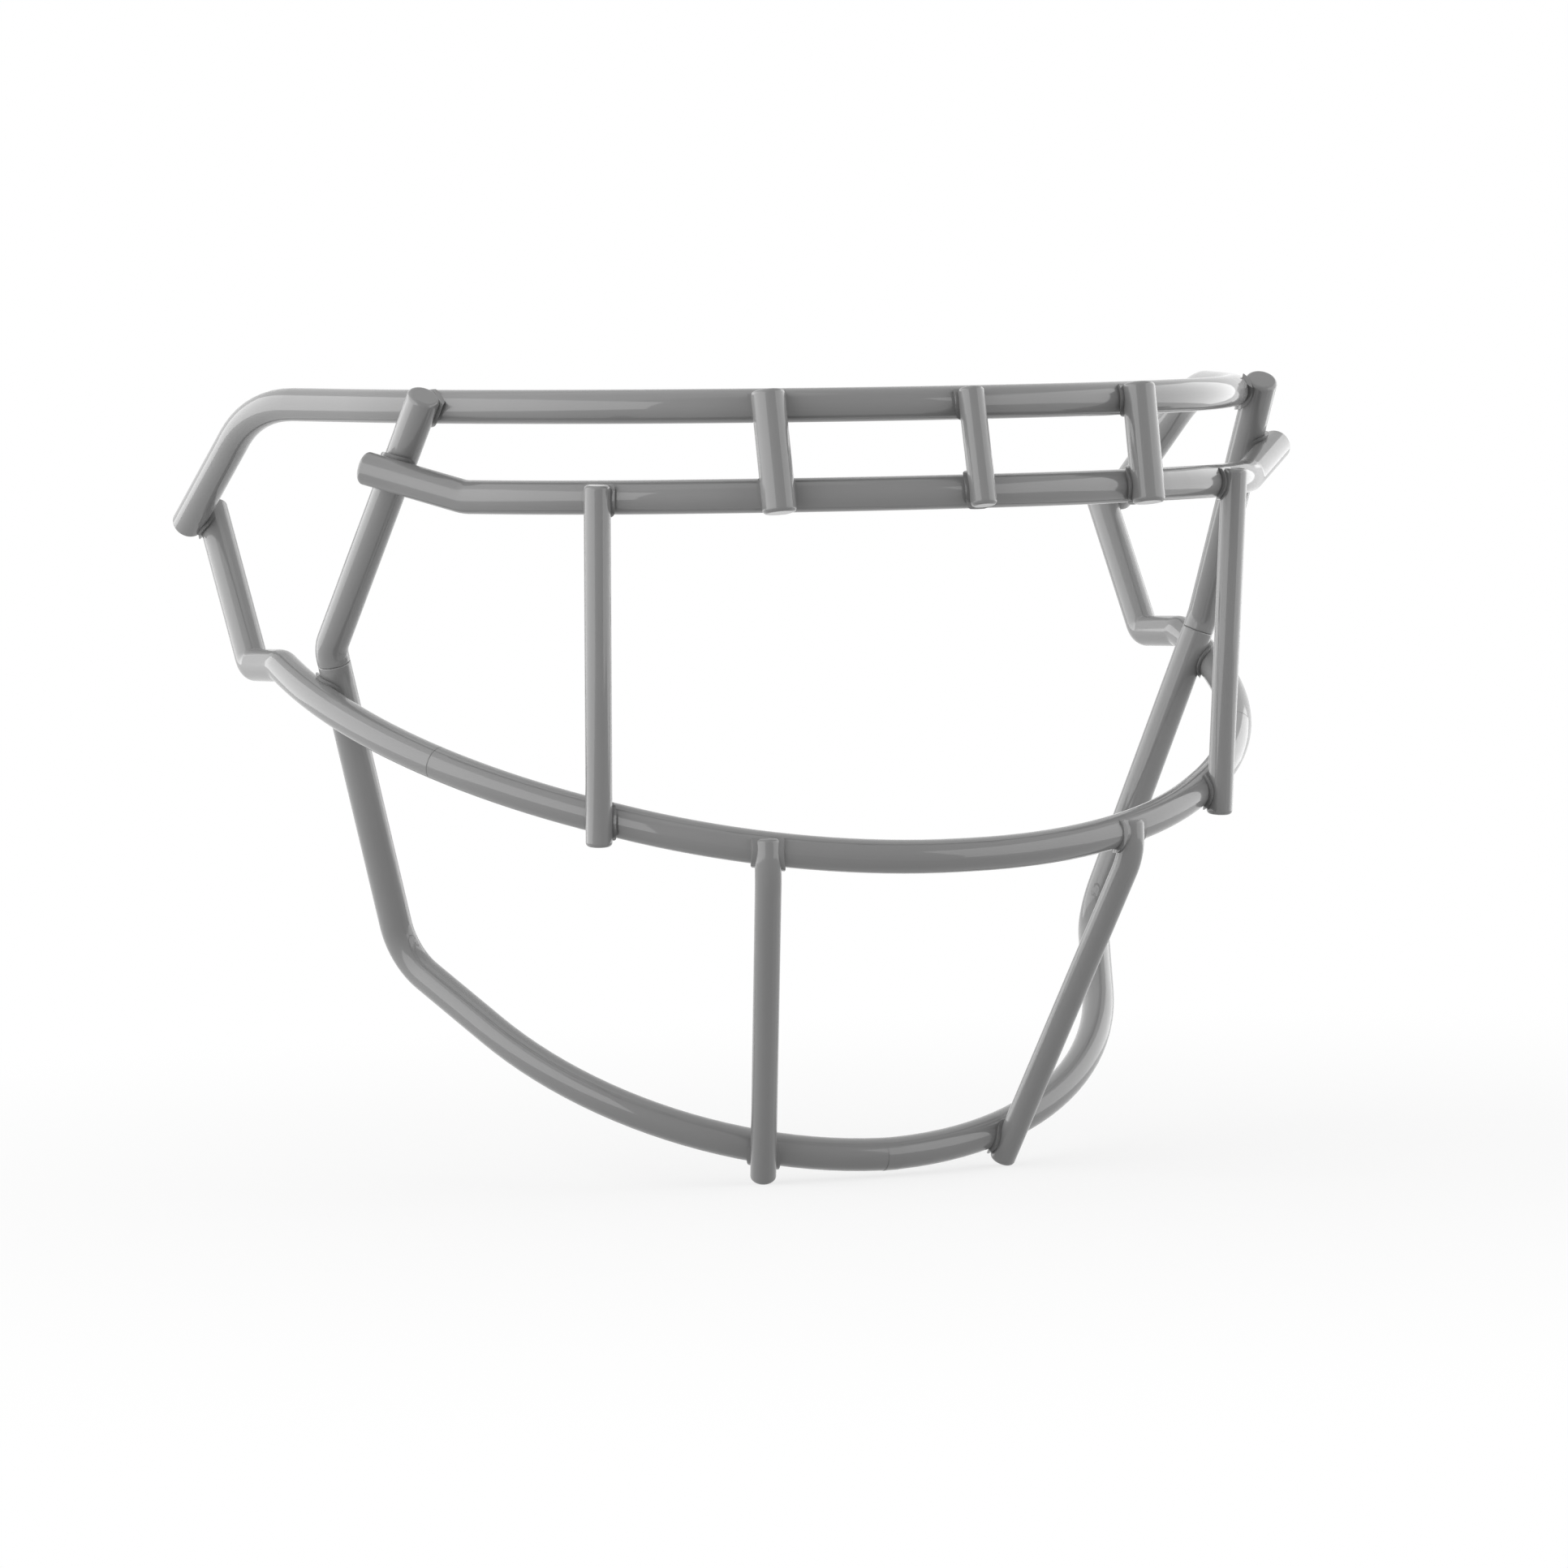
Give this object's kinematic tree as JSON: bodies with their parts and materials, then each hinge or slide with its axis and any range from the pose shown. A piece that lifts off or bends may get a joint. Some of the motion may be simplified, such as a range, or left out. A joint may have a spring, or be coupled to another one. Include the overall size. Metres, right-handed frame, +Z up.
{
  "type": "football helmet face guard",
  "caption": "Welded cage of bent round steel rods that guards the face: brow bars, mouth bar, jaw bar, side loops, struts and thin upright posts, with a glossy grey coating.",
  "frame": {"origin": "on the ground plane under the cage: X = 0 on the centre plane, Y = 0 half-way between the foremost and rearmost points, Z = 0 at the lowest point of the chin posts and jaw bar", "axes": "+X to the right as seen from in front, -Y out of the face to the front, +Z up, with the front run of the upper brow bar level; left and right in node names are as seen from in front, so left is -X"},
  "size_m": [0.2362, 0.1637, 0.1699],
  "materials": {
    "rod_coat": "gloss",
    "weld_coat": "gloss"
  },
  "bodies": {
    "root": {"upper_brow_bar": "rod_coat", "lower_brow_bar": "rod_coat", "mouth_bar": "rod_coat", "jaw_bar": "rod_coat", "brow_strut_centre": "rod_coat", "weld_upper_bar_centre_strut": "weld_coat", "weld_lower_bar_centre_strut": "weld_coat", "side_loop_left": "rod_coat", "side_loop_right": "rod_coat", "temple_leg_left": "rod_coat", "temple_leg_right": "rod_coat", "brow_strut_left": "rod_coat", "brow_strut_right": "rod_coat", "eye_post_left": "rod_coat", "eye_post_right": "rod_coat", "chin_post_left": "rod_coat", "chin_post_right": "rod_coat", "weld_upper_bar_leg_left": "weld_coat", "weld_upper_bar_leg_right": "weld_coat", "weld_upper_bar_strut_left": "weld_coat", "weld_upper_bar_strut_right": "weld_coat", "weld_upper_bar_loop_left": "weld_coat", "weld_upper_bar_loop_right": "weld_coat", "weld_lower_bar_leg_left": "weld_coat", "weld_lower_bar_leg_right": "weld_coat", "weld_lower_bar_strut_left": "weld_coat", "weld_lower_bar_strut_right": "weld_coat", "weld_lower_bar_eye_post_left": "weld_coat", "weld_lower_bar_eye_post_right": "weld_coat", "weld_mouth_bar_eye_post_left": "weld_coat", "weld_mouth_bar_eye_post_right": "weld_coat", "weld_mouth_bar_chin_post_left": "weld_coat", "weld_mouth_bar_chin_post_right": "weld_coat", "weld_jaw_bar_loop_left": "weld_coat", "weld_jaw_bar_loop_right": "weld_coat", "weld_jaw_bar_chin_post_left": "weld_coat", "weld_jaw_bar_chin_post_right": "weld_coat"}
  },
  "joints": []
}
